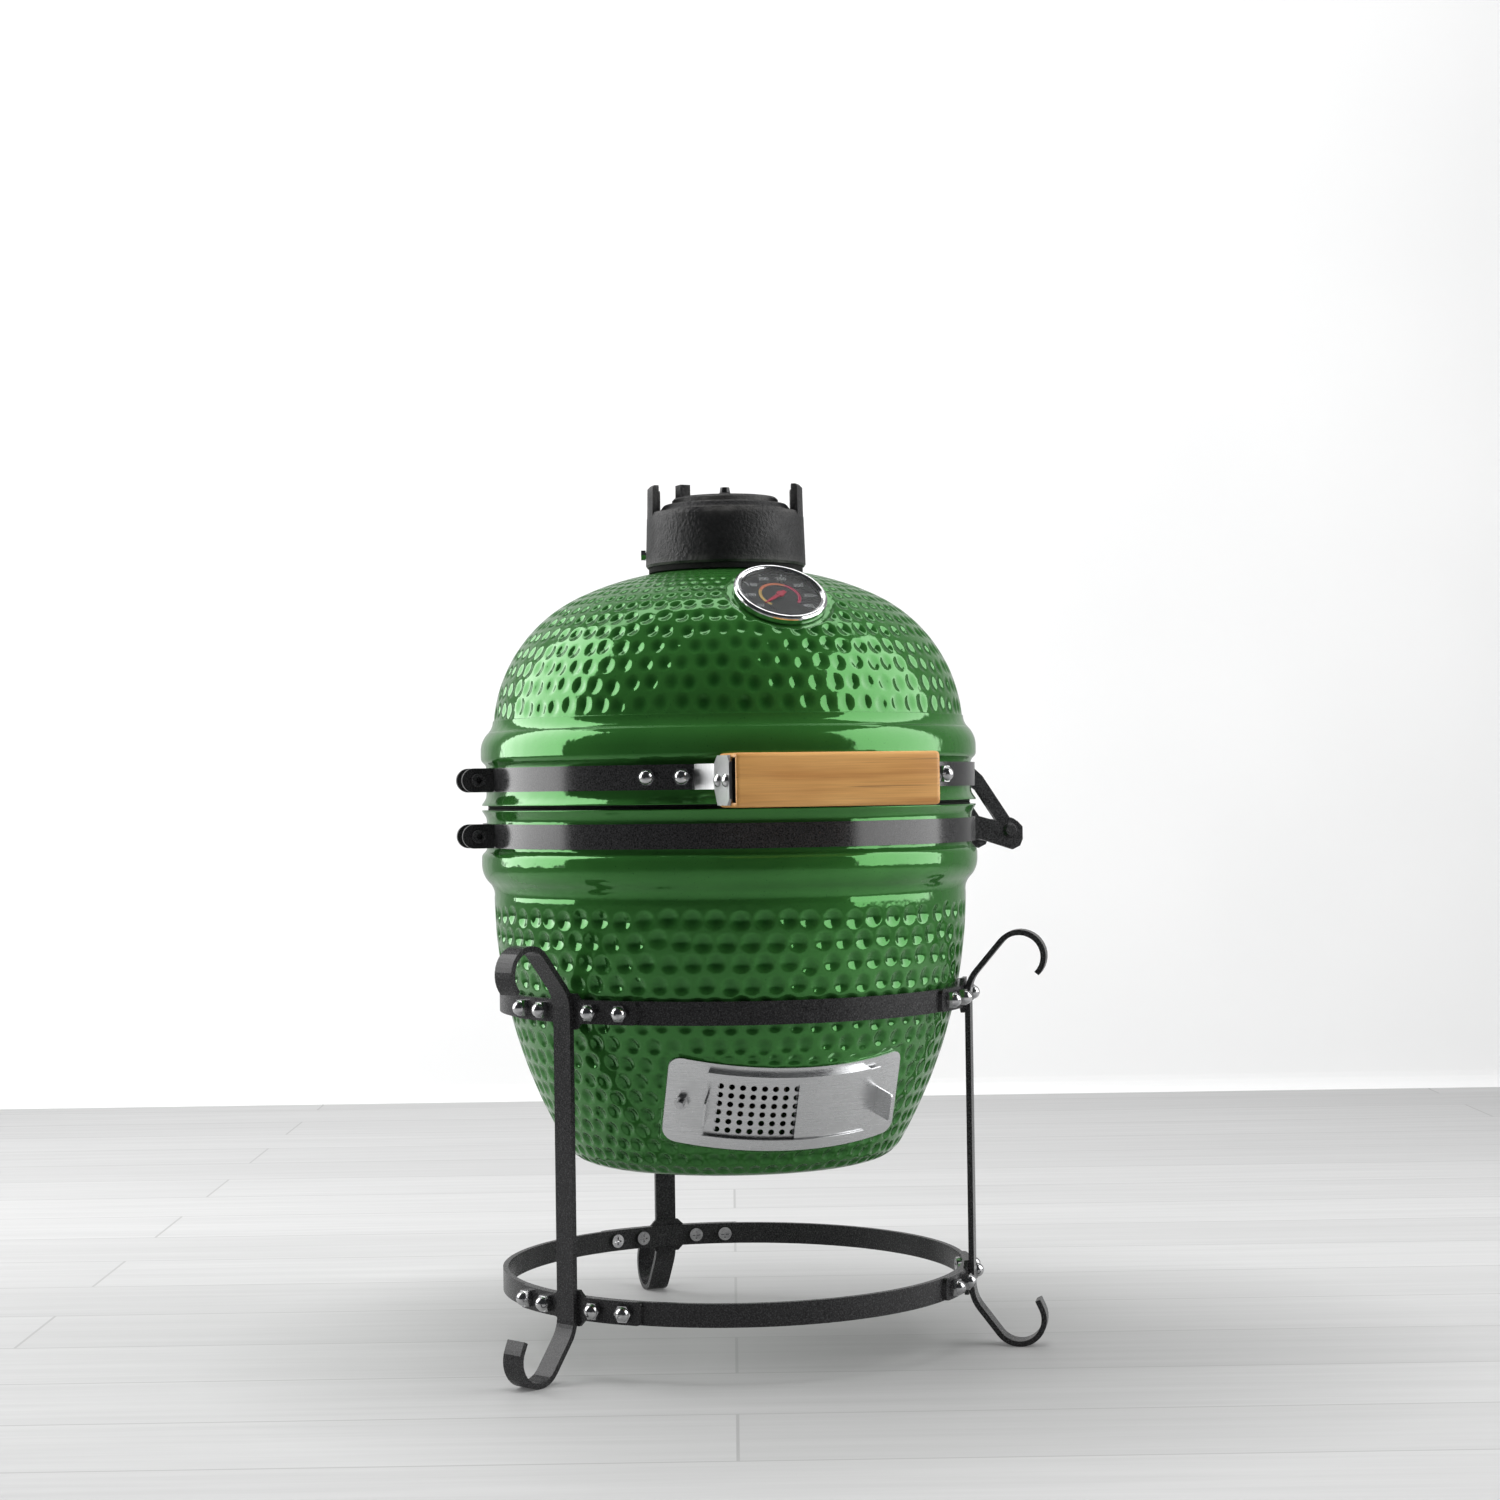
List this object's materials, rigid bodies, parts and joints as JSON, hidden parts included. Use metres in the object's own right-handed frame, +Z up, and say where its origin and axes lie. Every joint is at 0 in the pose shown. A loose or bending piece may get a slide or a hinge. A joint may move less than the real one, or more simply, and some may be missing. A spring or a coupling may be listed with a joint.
{
  "type": "kamado charcoal grill",
  "caption": "Small ceramic charcoal grill on a black three-legged ring stand, with a hinged dome, chimney damper, draft doors, dial thermometer and wooden handle.",
  "frame": {"origin": "on the floor, on the axis of the ceramic body", "axes": "+Z up, front with draft door, handle and thermometer towards -Y, lid hinge towards +X"},
  "size_m": [0.3868, 0.4189, 0.5683],
  "materials": {
    "green_glaze": "glossy green glaze over a dimpled body",
    "stand_paint": "satin black powder coat",
    "band_paint": "satin black powder coat",
    "bright_fasteners": "bright plated",
    "black_fasteners": "black oxide",
    "stainless": "satin stainless sheet",
    "felt": "matt black felt",
    "fire_clay": "unglazed, matt",
    "cast_iron": "fine cast texture, matt black",
    "bamboo": "oiled laminated bamboo",
    "bezel_chrome": "polished",
    "dial_face": "printed dark dial",
    "dial_glass": "clear",
    "needle_red": "red paint"
  },
  "bodies": {
    "base": {"lower_ring": "stand_paint", "upper_ring": "stand_paint", "front_left_leg": "stand_paint", "front_right_leg": "stand_paint", "back_leg": "stand_paint", "lower_leg_plates": "stand_paint", "upper_leg_plates": "stand_paint", "lower_ring_screws": "bright_fasteners", "upper_ring_screws": "bright_fasteners", "ring_cap_nuts": "bright_fasteners", "ceramic_base": "green_glaze", "base_gasket": "felt", "fire_box": "fire_clay", "fire_ring": "fire_clay", "charcoal_grate": "cast_iron", "cooking_grate": "stainless", "lower_band": "band_paint", "lower_band_screw": "black_fasteners", "lower_band_nut": "black_fasteners", "hinge_base": "band_paint", "hinge_pin": "black_fasteners", "hinge_nut": "black_fasteners", "vent_frame": "stainless", "vent_stud": "bright_fasteners", "vent_nut": "bright_fasteners", "vent_flush_screw": "bright_fasteners"},
    "lid": {"ceramic_dome": "green_glaze", "dome_gasket": "felt", "upper_band": "band_paint", "upper_band_screw": "black_fasteners", "upper_band_nut": "black_fasteners", "hinge_arms": "band_paint", "hinge_tube": "black_fasteners", "handle_bar": "bamboo", "left_handle_bracket": "stainless", "right_handle_bracket": "stainless", "handle_wood_screws": "bright_fasteners", "handle_studs": "bright_fasteners", "handle_cap_nuts": "bright_fasteners", "thermometer_case": "stainless", "thermometer_bezel": "bezel_chrome", "thermometer_dial": "dial_face", "thermometer_glass": "dial_glass", "thermometer_stem": "bright_fasteners", "thermometer_nut": "bright_fasteners", "cap_gasket": "felt", "chimney_cap": "cast_iron", "cap_set_screw": "bright_fasteners", "chimney_plate": "cast_iron", "daisy_screw": "black_fasteners"},
    "screen": {"screen_door": "stainless"},
    "draft": {"draft_door": "stainless"},
    "daisy": {"daisy_wheel": "cast_iron"},
    "needle": {"thermometer_needle": "needle_red"}
  },
  "joints": [
    {"name": "lid_hinge", "type": "hinge", "parent": "base", "child": "lid", "pos_m": [0.1915, 0, 0.335], "axis": [0, 1, 0], "range_deg": [0, 80]},
    {"name": "screen_slide", "type": "hinge", "parent": "base", "child": "screen", "pos_m": [0, 0, 0.2153], "axis": [0, -0.3502, 0.9367], "range_deg": [0, 21]},
    {"name": "draft_slide", "type": "hinge", "parent": "base", "child": "draft", "pos_m": [0, 0, 0.2153], "axis": [0, -0.3502, 0.9367], "range_deg": [-21, 0]},
    {"name": "daisy_turn", "type": "hinge", "parent": "lid", "child": "daisy", "pos_m": [0, 0, 0.556], "axis": [0, 0, 1], "range_deg": [0, 30]},
    {"name": "needle_turn", "type": "hinge", "parent": "lid", "child": "needle", "pos_m": [0, -0.10564, 0.48615], "axis": [0, -0.6225, 0.7826], "range_deg": [-256, 0]}
  ]
}
